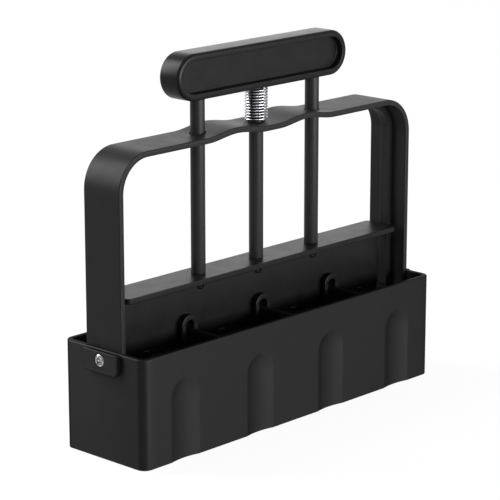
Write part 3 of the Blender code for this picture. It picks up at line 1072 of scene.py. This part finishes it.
@dataclass(frozen=True)
class StrapFrame:
    """A flat strap bent into a U with two finger humps, ribbed inside its legs."""

    layout: Layout
    bend: float = 0.0190
    edge: float = 0.00045
    hump_rise: float = 0.0022
    hump_start: float = 0.0045
    hump_length: float = 0.0420
    hump_steps: int = 36
    rib_width: float = 0.0058
    rib_proud: float = 0.0030
    rib_run: float = 0.0120
    rib_edge: float = 0.00060
    rib_hold: float = 0.00010
    shoulder_steps: int = 11
    rod_gap: float = 0.0006
    hole_above: float = 0.0040
    hole_below: float = 0.0060

    def path(self) -> tuple[Array, Array]:
        """The strap's middle line and its outward direction, up one leg, over and down.

        A leg is straight, a bend is a quarter circle, and the bar's height is raised over each
        hump by rise times sin^2 of the way along the hump. The direction is the path's tangent
        turned a quarter to the left.

        Returns:
            Points (rows, 2) in X and Z, and unit directions of the same shape.
        """
        layout = self.layout
        half = layout.strap_thickness / 2
        reach, high = layout.leg_outside - self.bend, layout.frame_top - self.bend
        share = np.linspace(0, 1, self.hump_steps + 1)
        places = self.hump_start + self.hump_length * share
        heights = layout.frame_top - half + self.hump_rise * np.sin(math.pi * share) ** 2
        hump = np.stack([places, heights], axis=1)
        flat = np.linspace(0.0, self.hump_start, 4)[:-1]
        middle = np.stack([flat, np.full_like(flat, layout.frame_top - half)], axis=1)
        corner = arc((reach, high), self.bend - half, 90, 0, BEND_STEPS)
        levels = np.array([0.995, 0.8, 0.6, 0.4, 0.2, 0.0])
        drop = layout.leg_foot + (high - layout.leg_foot) * levels
        leg = np.stack([np.full_like(drop, layout.leg_outside - half), drop], axis=1)
        between = np.linspace(0, 1, self.shoulder_steps + 1)[1:-1, None]
        shoulder = hump[-1] + (corner[0] - hump[-1]) * between
        right = np.concatenate([middle, hump, shoulder, corner, leg])
        left = (right * [-1, 1])[::-1][:-1]
        line = np.concatenate([left, right])
        way = unit(np.gradient(line, axis=0))
        return line, np.stack([-way[:, 1], way[:, 0]], axis=1)

    def strap(self) -> Thing:
        """The strap: a rounded section (y, t) carried along the path as path + t * direction.

        Returns:
            The closed body.
        """
        layout = self.layout
        cross = np.linspace(-0.45, 0.45, 9) * layout.strap_width
        section = rounded_outline(
            layout.strap_width, layout.strap_thickness, self.edge, EDGE_STEPS, cross
        ).points
        line, out = self.path()
        points = np.empty((len(line), len(section), 3))
        points[..., 1] = section[:, 0]
        points[..., 0::2] = line[:, None] + section[None, :, 1:] * out[:, None]
        return swept("strap_frame", points)

    def rib(self, side: Side) -> Thing:
        """The rib inside one leg and its bend, fading into the bar.

        Args:
            side: The end it belongs to.

        Returns:
            The closed body.
        """
        layout = self.layout
        root = layout.strap_thickness / 2
        reach, high = layout.leg_outside - self.bend, layout.frame_top - self.bend
        large = self.bend - root
        small = self.bend - layout.strap_thickness - self.rib_proud
        crest = reach + small
        points = np.concatenate(
            [
                [[layout.leg_outside - root, layout.leg_foot]],
                arc((reach, high), large, 0, 90, BEND_STEPS),
                [[reach - self.rib_run, high + large]],
                arc((reach, high), small, 90, 0, BEND_STEPS),
                [[crest, layout.leg_foot]],
            ]
        )
        line = drawn_outline(points)
        if side is Side.LEFT:
            line = line.mirrored()
        half = self.rib_width / 2
        edges = Edges(self.rib_edge, self.rib_edge, self.rib_hold)
        return moulded(f"rib_{side.name}", line, (-half, half), edges, Plane.XZ)

    def build(self) -> Thing:
        """The whole frame, with its ribs, its rod holes and its screw holes.

        Returns:
            The closed body.
        """
        layout = self.layout
        frame_piece = combine(self.strap(), [self.rib(side) for side in Side], Cutting.JOIN)
        hole = layout.rod_diameter + 2 * self.rod_gap
        low, high = layout.frame_top - self.hole_below, layout.frame_top + self.hole_above
        tools = [post(f"rod_hole_{word}", hole, low, high, x) for word, x in layout.rods]
        tools += [screw_bore(layout, side) for side in Side]
        return combine(frame_piece, tools, Cutting.CUT)

    def dress(self) -> None:
        """Builds and dresses the frame."""
        dress(self.build(), "root", "carry_frame", FRAME_FINISH)


@dataclass(frozen=True)
class StrapScrew:
    """A pan-head screw with a cross recess, its axis along X and its head in the tab."""

    layout: Layout
    side: Side
    head_height: float = 0.0018
    crown: float = 0.0012
    recess_reach: float = 0.0021
    recess_width: float = 0.0011
    recess_depth: float = 0.0015
    recess_taper: float = 0.35
    recess_soft: float = 0.00005
    ring_place: float = 0.0023
    ring_width: float = 0.00022
    ring_depth: float = 0.00030
    thread: float = 0.00022
    thread_pitch: float = 0.0012
    thread_fades: tuple[float, float] = (0.0010, 0.0015)
    turned_by: float = 6.0
    steps: int = 120
    crown_rings: int = 44
    shank_rings: int = 60

    def crown_height(self, across: Array, up: Array) -> Array:
        """Height of the head's top over its rim, with the cross recess.

        The crown is a dome, c * (1 - (r / R)^2), with a groove d * exp(-((r - g) / w)^2) inside
        its rim. The recess is the deeper of two slots, each smooth walled: 1 over (1 + exp of
        the distance from its wall over a small width).

        Args:
            across: First coordinate on the head.
            up: Second coordinate on the head.

        Returns:
            The height at each point.
        """
        out = np.hypot(across, up)
        far = out / (self.layout.screw_head / 2)
        groove = self.ring_depth * np.exp(-(((out - self.ring_place) / self.ring_width) ** 2))
        dome = self.crown * (1 - far**2) - groove
        slots = []
        for one, other in ((across, up), (up, across)):
            wide = (np.abs(one) - self.recess_width / 2) / self.recess_soft
            long = (np.abs(other) - self.recess_reach) / self.recess_soft
            walls = [1 / (1 + np.exp(np.clip(wall, -40, 40))) for wall in (wide, long)]
            slots.append(walls[0] * walls[1])
        cross = np.maximum(*slots)
        return dome - cross * self.recess_depth * (1 - self.recess_taper * far)

    def build(self) -> Thing:
        """The screw as rings round its axis: crown, rim, underside, threaded shank and tip.

        The thread is a wave on the shank's radius that climbs one pitch a turn.

        Returns:
            The closed body.
        """
        layout = self.layout
        angle = np.linspace(0, 2 * math.pi, self.steps, endpoint=False)
        rings = np.linspace(0, 0.97, self.crown_rings)[:, None] * layout.screw_head / 2
        across, up = rings * np.cos(angle), rings * np.sin(angle)
        rim = self.head_height - self.crown
        turn = math.radians(self.turned_by)
        tilt_a = across * math.cos(turn) + up * math.sin(turn)
        tilt_b = up * math.cos(turn) - across * math.sin(turn)
        top = np.stack([rim + self.crown_height(tilt_a, tilt_b), across, up], axis=-1)
        # Each row is the share of the head's radius, and the height over its seat.
        lower = np.array(
            [
                [0.992, rim], [1.0, rim * 0.85], [1.0, rim * 0.3], [0.985, 0.00003], [0.96, 0.0],
            ]
        )
        radius = lower[:, :1] * layout.screw_head / 2
        rim_rows = np.stack(
            [
                np.broadcast_to(lower[:, 1:], (len(lower), self.steps)),
                radius * np.cos(angle), radius * np.sin(angle),
            ],
            axis=-1,
        )
        depth = np.linspace(0, 1, self.shank_rings)[:, None] * layout.screw_length
        wave = 0.5 + 0.5 * np.cos(angle - 2 * math.pi * depth / self.thread_pitch)
        under, tip = self.thread_fades
        fade = np.clip(depth / under, 0, 1)
        fade = fade * np.clip((layout.screw_length - depth) / tip, 0, 1)
        shank = layout.screw / 2 - self.thread * (1 - wave * fade)
        shank_rows = np.stack(
            [-np.broadcast_to(depth, wave.shape), shank * np.cos(angle), shank * np.sin(angle)],
            axis=-1,
        )
        rows = np.concatenate([top, rim_rows, shank_rows])
        place = np.array([self.side.value * layout.screw_seat, 0.0, layout.screw_height])
        rows = rows * [self.side.value, 1.0, 1.0] + place
        shell = Shell()
        shell.grid(rows)
        shell.cap(rows[-1])
        return shell.piece(f"strap_screw_{self.side.name.lower()}")

    def dress(self) -> None:
        """Builds and dresses the screw."""
        node = f"frame_screw_{self.side.name.lower()}"
        dress(self.build(), "root", node, SCREW_FINISH)


@dataclass(frozen=True)
class PressBar:
    """The top plate with its web, the arches over the partitions, and sockets and bosses."""

    layout: Layout
    length: float = 0.1988
    width: float = 0.0205
    thickness: float = 0.0028
    corner: float = 0.0030
    edge: float = 0.00035
    web_setback: float = 0.0054
    web_thickness: float = 0.0032
    web_base: float = 0.0463
    web_edge: float = 0.00050
    web_corner: float = 0.00090
    cut_from: float = 0.0400
    arch_radius: float = 0.0055
    arch_wall: float = 0.0028
    arch_proud: float = 0.0036
    arch_edge: float = 0.00050
    arch_hold: float = 0.00012
    arch_room: float = 0.0040
    arch_steps: int = 32
    socket_height: float = 0.0050
    socket_round: float = 0.0012
    boss: float = 0.0054
    boss_height: float = 0.0030
    boss_round: float = 0.0010
    boss_edge: float = 0.0003

    @property
    def underside(self) -> float:
        """Height of the plate's underside."""
        return self.layout.plate_top - self.thickness

    def arch_line(self, x: float, radius: float, bottom: float, top: float) -> Array:
        """Straight sides under a half circle, from the right foot over to the left one."""
        head = arc((x, top - radius), radius, 0, 180, self.arch_steps)
        return np.concatenate([[[x + radius, bottom]], head, [[x - radius, bottom]]])

    def arch(self, number: int, x: float) -> Thing:
        """The band that steps over one partition: its outer and inner lines joined as a U.

        Args:
            number: The partition's number.
            x: The partition's middle.

        Returns:
            The closed body.
        """
        slot_top = self.layout.box_height + self.arch_room
        outer = self.arch_line(x, self.arch_radius, self.web_base, slot_top + self.arch_wall)
        inner = self.arch_line(x, self.arch_radius - self.arch_wall, self.web_base, slot_top)
        line = drawn_outline(np.concatenate([outer, inner[::-1]]))
        half = self.web_thickness / 2 + self.arch_proud
        edges = Edges(self.arch_edge, self.arch_edge, self.arch_hold)
        return moulded(f"arch_{number}", line, (-half, half), edges, Plane.XZ)

    def slot(self, number: int, x: float) -> Thing:
        """The room inside one arch, through the web.

        Args:
            number: The partition's number.
            x: The partition's middle.

        Returns:
            The closed body.
        """
        slot_top = self.layout.box_height + self.arch_room
        points = self.arch_line(x, self.arch_radius - self.arch_wall, self.cut_from, slot_top)
        half = self.web_thickness / 2 + MM
        return moulded(f"slot_{number}", drawn_outline(points), (-half, half), SHARP, Plane.XZ)

    def web(self) -> Thing:
        """The upright web under the plate.

        Returns:
            The closed body.
        """
        tall = self.underside + self.thickness / 2 - self.web_base
        line = rounded_outline(self.length - 2 * self.web_setback, tall, self.web_corner)
        line = line.moved(0, self.web_base + tall / 2)
        half = self.web_thickness / 2
        edges = Edges(self.web_edge, self.web_edge)
        return moulded("web", line, (-half, half), edges, Plane.XZ)

    def build(self) -> Thing:
        """The whole press bar as one moulding.

        Returns:
            The closed body.
        """
        layout = self.layout
        plate_line = rounded_outline(self.length, self.width, self.corner)
        edges = Edges(self.edge, self.edge)
        bar = moulded("press_beam", plate_line, (self.underside, layout.plate_top), edges)
        joined = [self.web()]
        cut = []
        for number, x in enumerate(layout.partitions.tolist(), 1):
            cut.append(self.slot(number, x))
            joined.append(self.arch(number, x))
        low = self.underside - self.socket_height
        high = self.underside + self.thickness / 2
        bore = layout.tenon + 2 * layout.fit
        pin_bore = layout.pin + 2 * layout.fit
        radius = layout.socket_boss / 2
        socket = softened(
            [(0, low, 0), (radius, low, self.socket_round), (radius, high, 0), (0, high, 0)]
        )
        for word, x in layout.rods:
            joined.append(turned(f"socket_{word}", socket, ROUND_STEPS, x))
            cut.append(post(f"bore_{word}", bore, layout.socket_floor, layout.plate_top + MM, x))
            cut.append(crosswise(f"pin_bore_{word}", pin_bore, x, layout.pin_height))
        base, top, radius = self.web_base, self.web_base + self.boss_height, self.boss / 2
        boss = softened(
            [
                (0, base, 0), (radius, base, self.boss_edge),
                (radius, top, self.boss_round), (0, top, 0),
            ]
        )
        end = layout.foot_top - layout.foot_thickness + layout.stud_length
        stud_bore = layout.stud + 2 * layout.fit
        for number, x in enumerate(layout.cells.tolist(), 1):
            joined.append(turned(f"boss_{number}", boss, ROUND_STEPS, x))
            cut.append(post(f"stud_bore_{number}", stud_bore, self.cut_from, end, x))
        combine(bar, joined, Cutting.JOIN)
        return combine(bar, cut, Cutting.CUT)

    def dress(self) -> None:
        """Builds and dresses the press bar."""
        dress(self.build(), "plunger", "press_bar", SHADE_DARKENED_BAR_FINISH)


@dataclass(frozen=True)
class CellFoot:
    """One square foot and the dimple peg under it."""

    layout: Layout
    number: int
    x: float
    play: float = 0.0005
    corner: float = 0.0020
    edge: float = 0.00045
    peg: float = 0.0100
    peg_tip: float = 0.0070
    peg_length: float = 0.0100
    peg_edge: float = 0.0010
    stud_edge: float = 0.00030
    facets: int = 6

    def foot(self) -> Thing:
        """The foot: a square plate with soft edges and the hole for its stud.

        Returns:
            The closed body.
        """
        layout = self.layout
        size = layout.cell - 2 * self.play
        line = rounded_outline(size, size, self.corner).moved(self.x)
        hole = circle(layout.stud + 2 * layout.fit, BORE_STEPS).moved(self.x)
        span = (layout.foot_top - layout.foot_thickness, layout.foot_top)
        edges = Edges(self.edge, self.edge)
        return moulded(f"cell_foot_{self.number}", line, span, edges, holes=[hole])

    def dimple_peg(self) -> Thing:
        """The tapered peg with its stud.

        Returns:
            The closed body.
        """
        layout = self.layout
        base = layout.foot_top - layout.foot_thickness - layout.fit
        wide, tip, stud = self.peg / 2, self.peg_tip / 2, layout.stud / 2
        low, high = base - self.peg_length, base + layout.stud_length
        profile = softened(
            [
                (0, high, 0), (stud, high, self.stud_edge), (stud, base, 0),
                (wide, base, self.stud_edge), (tip, low, self.peg_edge), (0, low, 0),
            ],
            self.facets,
        )
        return turned(f"seed_peg_{self.number}", profile, ROD_STEPS, self.x)

    def dress(self) -> None:
        """Builds and dresses the foot and its peg."""
        pieces = (("press_foot", self.foot()), ("dimple_peg", self.dimple_peg()))
        for word, piece in pieces:
            dress(piece, "plunger", f"{word}_{self.number}", FOOT_FINISH)


@dataclass(frozen=True)
class RodSet:
    """One push rod with its tenons, and the pin that locks it in its socket."""

    layout: Layout
    word: str
    x: float
    shoulder_edge: float = 0.00030
    tenon_edge: float = 0.00040
    grip_socket: float = 0.0120
    stand_off: float = 0.00005
    pin_edge: float = 0.00015

    def rod(self) -> Thing:
        """The rod, turned from its top tenon to its bottom one, with its pin hole.

        Returns:
            The closed body.
        """
        layout = self.layout
        radius, tenon = layout.rod_diameter / 2, layout.tenon / 2
        top = layout.grip_bottom + self.grip_socket - layout.fit
        shoulder = layout.grip_bottom - self.stand_off
        heel, bottom = layout.plate_top + self.stand_off, layout.socket_floor + layout.fit
        profile = softened(
            [
                (0, top, 0), (tenon, top, self.tenon_edge), (tenon, shoulder, 0),
                (radius, shoulder, self.shoulder_edge), (radius, heel, self.shoulder_edge),
                (tenon, heel, 0), (tenon, bottom, self.tenon_edge), (0, bottom, 0),
            ]
        )
        made = turned(f"rod_{self.word}", profile, ROD_STEPS, self.x)
        bore = layout.pin + 2 * layout.fit
        tool = crosswise(f"rod_bore_{self.word}", bore, self.x, layout.pin_height)
        return combine(made, [tool], Cutting.CUT)

    def pin(self) -> Thing:
        """The cross pin, its ends sunk in the socket.

        Returns:
            The closed body.
        """
        layout = self.layout
        half = layout.pin_length / 2
        line = circle(layout.pin, PIN_STEPS).moved(self.x, layout.pin_height)
        edges = Edges(self.pin_edge, self.pin_edge, self.stand_off)
        return moulded(f"cross_pin_{self.word}", line, (-half, half), edges, Plane.XZ)

    def dress(self) -> None:
        """Builds and dresses the rod and its pin."""
        dress(self.rod(), "plunger", f"push_rod_{self.word}", ROD_FINISH)
        dress(self.pin(), "plunger", f"rod_pin_{self.word}", PIN_FINISH)


@dataclass(frozen=True)
class GripBar:
    """The handle bar with half-round ends and a shallow recess in its front."""

    layout: Layout
    length: float = 0.1220
    height: float = 0.0232
    depth: float = 0.0133
    front_edge: float = 0.0018
    back_edge: float = 0.0012
    rim: float = 0.0034
    rim_edge: float = 0.00045
    recess: float = 0.0035
    draft: float = 0.00035
    fillet: float = 0.00055
    socket: float = 0.0120
    band: float = 0.0003
    facets: int = 7
    side_steps: int = 39

    def profile(self) -> Array:
        """The section from the back's middle line round the edge to the recess's middle line.

        Returns:
            Array of (rows, 2): how far inside the outline, and Y.
        """
        middle, half = self.height / 2, self.depth / 2
        floor = -half + self.recess
        inner = self.rim + self.draft
        corners = [
            (middle, half, 0.0), (0.0, half, self.back_edge), (0.0, -half, self.front_edge),
            (self.rim, -half, self.rim_edge), (inner, floor, self.fillet), (middle, floor, 0.0),
        ]
        rounded = softened(corners, self.facets)
        # Rows beside the rounds keep the flat faces flat in the shading.
        marks = [rounded[0], (middle * 0.55, half), (self.back_edge + self.band, half)]
        marks = np.concatenate([marks, rounded[1:-1]])
        tail = [(inner + self.fillet + self.band, floor), (middle * 0.8, floor), rounded[-1]]
        return np.concatenate([marks, tail])

    def build(self) -> Thing:
        """The whole grip, with its bores for the rods.

        Returns:
            The closed body.
        """
        layout = self.layout
        radius = self.height / 2
        reach = self.length / 2 - radius
        along = np.linspace(-1, 1, self.side_steps + 1)[1:-1] * reach
        line = rounded_outline(self.length, self.height, radius, BEND_STEPS, along)
        line = line.moved(0, layout.grip_bottom + radius)
        profile = self.profile()
        shell = Shell()
        shell.grid(in_plane(line.inset(profile[:, 0]), profile[:, 1], Plane.XZ))
        grip = shell.piece("grip_handle")
        bore = layout.tenon + 2 * layout.fit
        top = layout.grip_bottom + self.socket
        tools = [
            post(f"grip_bore_{word}", bore, layout.grip_bottom - MM, top, x)
            for word, x in layout.rods
        ]
        return combine(grip, tools, Cutting.CUT)

    def dress(self) -> None:
        """Builds and dresses the grip."""
        dress(self.build(), "plunger", "grip_bar", GRIP_FINISH)


@dataclass(frozen=True)
class ReturnSpring:
    """The coil round the middle rod, one wire from the frame to the grip."""

    layout: Layout
    wire: float = 0.00095
    play: float = 0.001275
    turns: int = 11
    steps_per_turn: int = 48
    sides: int = 16

    @property
    def ends(self) -> tuple[float, float]:
        """Heights of the coil's lower and upper end."""
        low = self.layout.frame_top + self.layout.fit
        return low, self.layout.grip_bottom - self.layout.fit

    def build(self) -> Thing:
        """A tube of radius w round a helix: c + w (cos p * outward + sin p * across).

        The helix is (R cos a, R sin a, z) with z rising evenly; across is the tangent crossed
        with the outward direction. Each end runs straight on for one wire thickness.

        Returns:
            The closed body.
        """
        radius = (self.layout.rod_diameter + self.wire) / 2 + self.play
        low, high = self.ends
        share = np.linspace(0, 1, self.turns * self.steps_per_turn + 1)
        angle = 2 * math.pi * self.turns * share
        height = low + self.wire / 2 + (high - low - self.wire) * share
        line = np.stack([radius * np.cos(angle), radius * np.sin(angle), height], axis=1)
        out = np.stack([np.cos(angle), np.sin(angle), np.zeros_like(angle)], axis=1)
        straight = np.array([[0.0, self.wire, 0.0]])
        line = np.concatenate([line[:1] - straight, line, line[-1:] + straight])
        out = np.concatenate([out[:1], out, out[-1:]])
        across = unit(np.cross(unit(np.gradient(line, axis=0)), out))
        around = np.linspace(0, 2 * math.pi, self.sides, endpoint=False)[None, :, None]
        ring = np.cos(around) * out[:, None] + np.sin(around) * across[:, None]
        return swept("coil_spring", line[:, None] + ring * self.wire / 2)

    def dress(self) -> None:
        """Builds and dresses the spring, and gives it a mesh of its own."""
        coil = dress(self.build(), "root", "return_spring", WIRE_FINISH)
        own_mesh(coil)


# The studio


def place_and_aim(name: str, data: bpy.types.ID, place: Triple, aim: Triple) -> Thing:
    """Puts a camera or lamp in the scene, looking at a point.

    Args:
        name: The object's name.
        data: The camera's or lamp's data.
        place: Where it stands.
        aim: The point it looks at.

    Returns:
        The object.
    """
    made = bpy.data.objects.new(name, data)
    bpy.context.scene.collection.objects.link(made)
    made.location = place
    made.rotation_euler = (Vector(aim) - Vector(place)).to_track_quat("-Z", "Y").to_euler()
    return made


@dataclass(frozen=True)
class Camera:
    """The camera of the photograph, found from the box's corners, the legs and the rods."""

    place: Triple = (-0.80246, -0.74984, 0.36974)
    aim: Triple = (0.00538, 0.00925, 0.08129)
    lens: float = 161.29
    sensor: float = 36.0
    clip: tuple[float, float] = (0.05, 30.0)

    def build(self) -> None:
        """Makes the scene's camera."""
        data = bpy.data.cameras.new("camera")
        data.lens = self.lens
        data.sensor_width = self.sensor
        data.clip_start, data.clip_end = self.clip
        bpy.context.scene.camera = place_and_aim("camera", data, self.place, self.aim)


@dataclass(frozen=True)
class SoftBox:
    """One soft lamp that looks at a point."""

    name: str
    place: Triple
    width: float
    height: float
    power: float
    aim: Triple = (0.0, 0.0, 0.09)

    def build(self) -> None:
        """Makes the lamp."""
        data = bpy.data.lights.new(self.name, "AREA")
        data.shape = "RECTANGLE"
        data.size = self.width
        data.size_y = self.height
        data.energy = self.power
        place_and_aim(self.name, data, self.place, self.aim)


@dataclass(frozen=True)
class Studio:
    """A pale floor, an even pale surround and soft lamps."""

    floor_size: float = 14.0
    floor_drop: float = 0.0004
    floor_colour: str = "#f4f4f3"
    fibre_mm: float = 6.0
    shadow_share: float = 0.07
    surround: float = 0.36
    lamps: tuple[SoftBox, ...] = (
        SoftBox("low front lamp", (0.26, -1.50, 0.20), 1.50, 0.36, 53.0),
        SoftBox("key lamp", (-0.83, -0.98, 1.62), 0.40, 0.40, 6.0),
        SoftBox("back right lamp", (1.25, 1.2, 0.75), 1.2, 1.2, 4.0),
        SoftBox("back left lamp", (-0.78, 1.34, 1.00), 0.80, 1.45, 56.0),
    )

    def seen_rays(self, tree: bpy.types.NodeTree) -> Socket:
        """One where a ray comes from the camera, a gloss or a clear body, else zero.

        Args:
            tree: The node tree.

        Returns:
            The output that holds it.
        """
        path = add_node(tree, "ShaderNodeLightPath")
        seen = path.outputs["Is Camera Ray"]
        for ray in ("Is Glossy Ray", "Is Transmission Ray"):
            values = {0: seen, 1: path.outputs[ray]}
            seen = add_node(tree, "ShaderNodeMath", values, operation="MAXIMUM").outputs[0]
        return seen

    def floor(self) -> None:
        """The floor: pale paper that looks white to the camera but keeps the shadow."""
        half = self.floor_size / 2
        mesh = bpy.data.meshes.new("floor")
        corners = [(-half, -half), (half, -half), (half, half), (-half, half)]
        mesh.from_pydata([(x, y, -self.floor_drop) for x, y in corners], [], [(0, 1, 2, 3)])
        floor = bpy.data.objects.new("floor", mesh)
        bpy.context.scene.collection.objects.link(floor)
        made = bpy.data.materials.new("paper, matt white, floor")
        made.use_nodes = True
        tree = made.node_tree
        tree.nodes.clear()
        place = add_node(tree, "ShaderNodeTexCoord").outputs["Object"]
        fibre = add_node(
            tree, "ShaderNodeTexNoise",
            {"Vector": place, "Scale": per_mm(self.fibre_mm), "Detail": 3.0},
        )
        paper = add_node(
            tree, "ShaderNodeMix",
            {0: fibre.outputs["Fac"], 6: linear(self.floor_colour), 7: linear("#ffffff")},
            data_type="RGBA",
        )
        matt = add_node(tree, "ShaderNodeBsdfDiffuse", {"Color": paper.outputs[2]})
        white = add_node(tree, "ShaderNodeEmission", {"Color": linear("#ffffff"), "Strength": 1.0})
        share = add_node(
            tree, "ShaderNodeMath",
            {0: self.seen_rays(tree), 1: 1 - self.shadow_share}, operation="MULTIPLY",
        )
        both = add_node(
            tree, "ShaderNodeMixShader",
            {0: share.outputs[0], 1: matt.outputs[0], 2: white.outputs[0]},
        )
        add_node(tree, "ShaderNodeOutputMaterial", {"Surface": both.outputs[0]})
        mesh.materials.append(made)

    def surround_light(self) -> None:
        """The surround: white to the camera and in gloss, a plain even level to the object."""
        world = bpy.data.worlds.new("surround")
        world.use_nodes = True
        bpy.context.scene.world = world
        tree = world.node_tree
        tree.nodes.clear()
        level = add_node(
            tree, "ShaderNodeMapRange",
            {"Value": self.seen_rays(tree), "To Min": self.surround, "To Max": 1.0},
        )
        light = add_node(
            tree, "ShaderNodeBackground",
            {"Color": linear("#ffffff"), "Strength": level.outputs["Result"]},
        )
        add_node(tree, "ShaderNodeOutputWorld", {"Surface": light.outputs[0]})

    def build(self) -> None:
        """Makes floor, surround and lamps."""
        self.floor()
        self.surround_light()
        for lamp in self.lamps:
            lamp.build()


def main() -> None:
    """Builds the studio and the blocker, the still pieces first, and reports each piece."""
    logging.basicConfig(level=logging.INFO, format="%(name)s: %(message)s")
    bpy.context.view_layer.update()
    bpy.context.scene.view_settings.view_transform = "Standard"
    Camera().build()
    Studio().build()
    layout = Layout()
    units = [MouldBox(layout), StrapFrame(layout)]
    units += [StrapScrew(layout, side) for side in Side]
    units += [ReturnSpring(layout), PressBar(layout), GripBar(layout)]
    units += [CellFoot(layout, number, x) for number, x in enumerate(layout.cells.tolist(), 1)]
    units += [RodSet(layout, word, x) for word, x in layout.rods]
    for unit in units:
        unit.dress()


if __name__ == "__main__":
    main()
